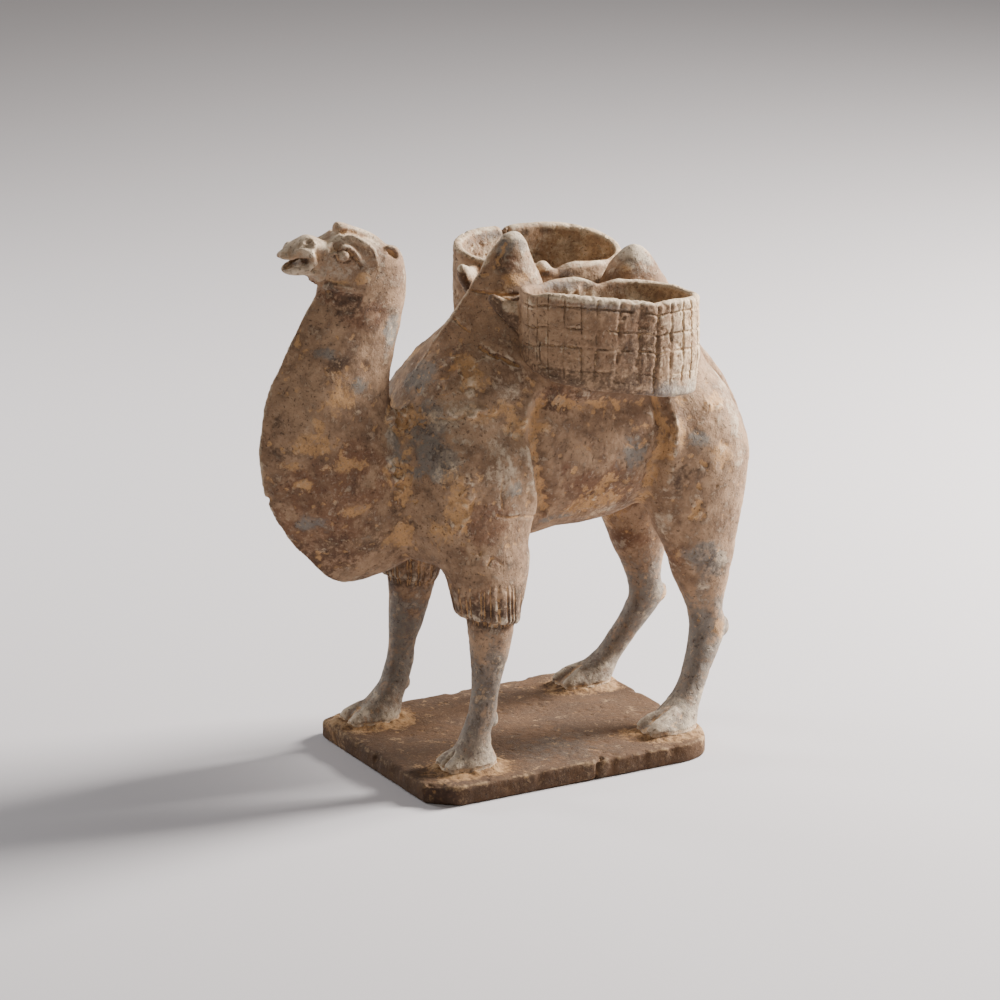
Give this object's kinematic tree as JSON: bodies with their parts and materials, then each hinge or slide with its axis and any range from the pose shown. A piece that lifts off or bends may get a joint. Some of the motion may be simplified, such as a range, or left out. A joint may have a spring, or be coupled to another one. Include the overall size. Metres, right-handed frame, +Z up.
{
  "type": "pottery camel figure",
  "caption": "Standing two-humped camel in bare earthenware with its mouth open, an open oval pannier with a curved horn hung on each flank, on a thin clay slab with cut corners.",
  "frame": {"origin": "in the slab's flat underside, on the camel's median plane, halfway along the slab's length", "axes": "+Z up, -Y the way the camel faces, +X the camel's left side, where pannier_left hangs"},
  "size_m": [0.117, 0.247, 0.2554],
  "materials": {
    "camel": "unglazed earthenware, mottled grey brown and ochre with burial earth",
    "pannier_left": "unglazed earthenware scored with a grid, pale rim",
    "pannier_right": "unglazed earthenware scored with a grid, pale rim",
    "base": "unglazed earthenware slab, worn and chipped along its edges"
  },
  "bodies": {
    "root": {"camel": "camel", "pannier_left": "pannier_left", "pannier_right": "pannier_right", "base": "base"}
  },
  "joints": []
}
